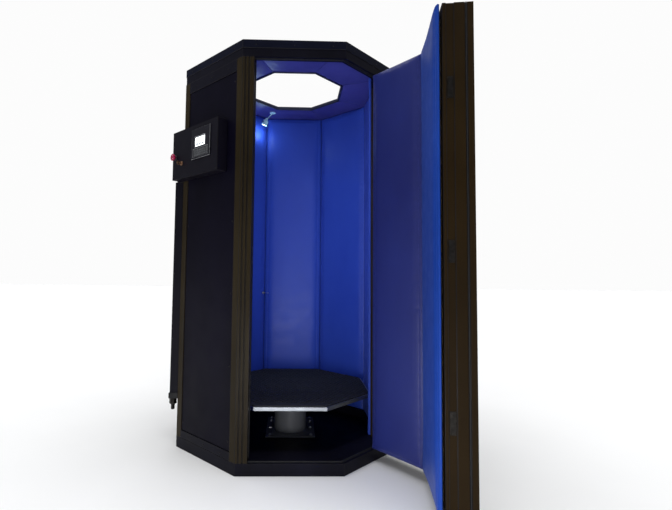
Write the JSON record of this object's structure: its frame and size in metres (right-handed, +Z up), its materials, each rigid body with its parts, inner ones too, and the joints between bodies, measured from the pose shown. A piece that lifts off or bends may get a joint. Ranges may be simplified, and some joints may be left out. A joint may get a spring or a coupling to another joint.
{
  "type": "cryotherapy cabin",
  "caption": "Octagonal walk-in cold therapy cabin with an open top, a two-facet insulated door, a lift platform and a side control box.",
  "frame": {"origin": "centre of the octagonal plan on the underside of the base pan, at floor level", "axes": "+Z up; the fixed front facet and the doorway face -Y; +X to the right as seen from the front"},
  "size_m": [1.506, 1.8781, 2.206],
  "materials": {
    "base_frame": "satin powder coat",
    "post": "satin powder coat",
    "header": "satin powder coat",
    "roof": "satin powder coat",
    "opening_trim": "matt extruded trim",
    "rail": "satin powder coat",
    "outer_panel": "fine textured powder coat",
    "insulation": "rigid foam",
    "liner": "smooth synthetic leather over foam",
    "door_liner_front": "smooth synthetic leather over foam",
    "door_liner_side": "smooth synthetic leather over foam",
    "gasket": "matt",
    "magnet": "brushed",
    "hinge": "semi-gloss",
    "pin": "polished",
    "control_box": "fine textured powder coat",
    "bezel": "satin anodised",
    "screen": "lit display",
    "keypad": "embossed membrane",
    "stop_red": "gloss moulding",
    "stop_collar": "moulded",
    "key_metal": "polished",
    "duct": "satin powder coat",
    "fitting": "blackened",
    "stainless": "brushed",
    "lamp_body": "gloss white",
    "lamp_lens": "lit lens",
    "fan": "moulded",
    "lift_base": "satin powder coat",
    "lift_stage": "satin anodised",
    "deck": "satin anodised",
    "mat": "ribbed",
    "door_frame": "satin powder coat",
    "door_edge": "satin powder coat",
    "pull": "brushed"
  },
  "bodies": {
    "cabin": {"base_pan": "base_frame", "corner_posts": "post", "jamb_post": "post", "hinge_post": "post", "top_ring": "header", "roof_cap": "roof", "opening_trim": "opening_trim", "panel_rails": "rail", "outer_panel_right": "outer_panel", "outer_panel_rear_right": "outer_panel", "outer_panel_rear": "outer_panel", "outer_panel_rear_left": "outer_panel", "outer_panel_left": "outer_panel", "outer_panel_front_left": "outer_panel", "wall_insulation": "insulation", "liner_right": "liner", "liner_rear_right": "liner", "liner_rear": "liner", "liner_rear_left": "liner", "liner_left": "liner", "liner_front_left": "liner", "frame_gasket": "gasket", "strike_plates": "magnet", "hinge_frame_leaves": "hinge", "hinge_pins": "pin", "control_box": "control_box", "control_cover": "control_box", "display_bezel": "bezel", "display_screen": "screen", "keypad_membrane": "keypad", "stop_collar": "stop_collar", "key_switch_barrel": "key_metal", "service_duct": "duct", "coolant_inlet": "fitting", "vapour_outlet": "stainless", "temperature_probe": "stainless", "lamp_bracket": "lamp_body", "fan_housing": "fan", "lift_base": "lift_base", "lift_outer_tube": "lift_base"},
    "door": {"door_frame": "door_frame", "door_closing_profile": "door_edge", "door_skin_front": "outer_panel", "door_skin_side": "outer_panel", "door_insulation": "insulation", "door_liner_front": "door_liner_front", "door_liner_side": "door_liner_side", "door_gasket": "gasket", "door_pull": "pull", "latch_magnets": "magnet", "hinge_door_leaves": "hinge"},
    "stop_button": {"stop_button": "stop_red"},
    "key": {"switch_key": "key_metal"},
    "lamp": {"lamp_head": "lamp_body", "lamp_lens": "lamp_lens"},
    "impeller": {"fan_impeller": "fan"},
    "lift_stage_1": {"lift_stage_1": "lift_stage"},
    "lift_stage_2": {"lift_stage_2": "lift_stage"},
    "platform": {"platform_tube": "lift_stage", "lift_platform": "deck", "platform_mat": "mat"}
  },
  "joints": [
    {"name": "door_hinge", "type": "hinge", "parent": "cabin", "child": "door", "pos_m": [0.55949, -0.37672, 1.085], "axis": [0, 0, 1], "range_deg": [-82, 15]},
    {"name": "stop_push", "type": "slide", "parent": "cabin", "child": "stop_button", "axis": [0.7071, 0.7071, 0], "range_m": [0, 0.004], "stiffness_N_per_m": 1500},
    {"name": "key_turn", "type": "hinge", "parent": "cabin", "child": "key", "pos_m": [-0.64064, -0.36345, 1.612], "axis": [0.7071, 0.7071, 0], "range_deg": [0, 90]},
    {"name": "lamp_tilt", "type": "hinge", "parent": "cabin", "child": "lamp", "pos_m": [-0.207, 0.387, 2.144], "axis": [-0.2747, -0.9615, 0], "range_deg": [-30, 30]},
    {"name": "fan_spin", "type": "hinge", "parent": "cabin", "child": "impeller", "pos_m": [0, 0.571, 0.19], "axis": [0, 1, 0], "continuous": true},
    {"name": "platform_slide", "type": "slide", "parent": "lift_stage_2", "child": "platform", "axis": [0, 0, 1], "range_m": [0, 0.16]},
    {"name": "lift_slide_2", "type": "slide", "parent": "lift_stage_1", "child": "lift_stage_2", "axis": [0, 0, 1], "range_m": [0, 0.16]},
    {"name": "lift_slide_1", "type": "slide", "parent": "cabin", "child": "lift_stage_1", "axis": [0, 0, 1], "range_m": [0, 0.16]}
  ],
  "couplings": [
    {"joint": "lift_slide_1", "follows": "platform_slide", "ratio": 1},
    {"joint": "lift_slide_2", "follows": "platform_slide", "ratio": 1}
  ]
}
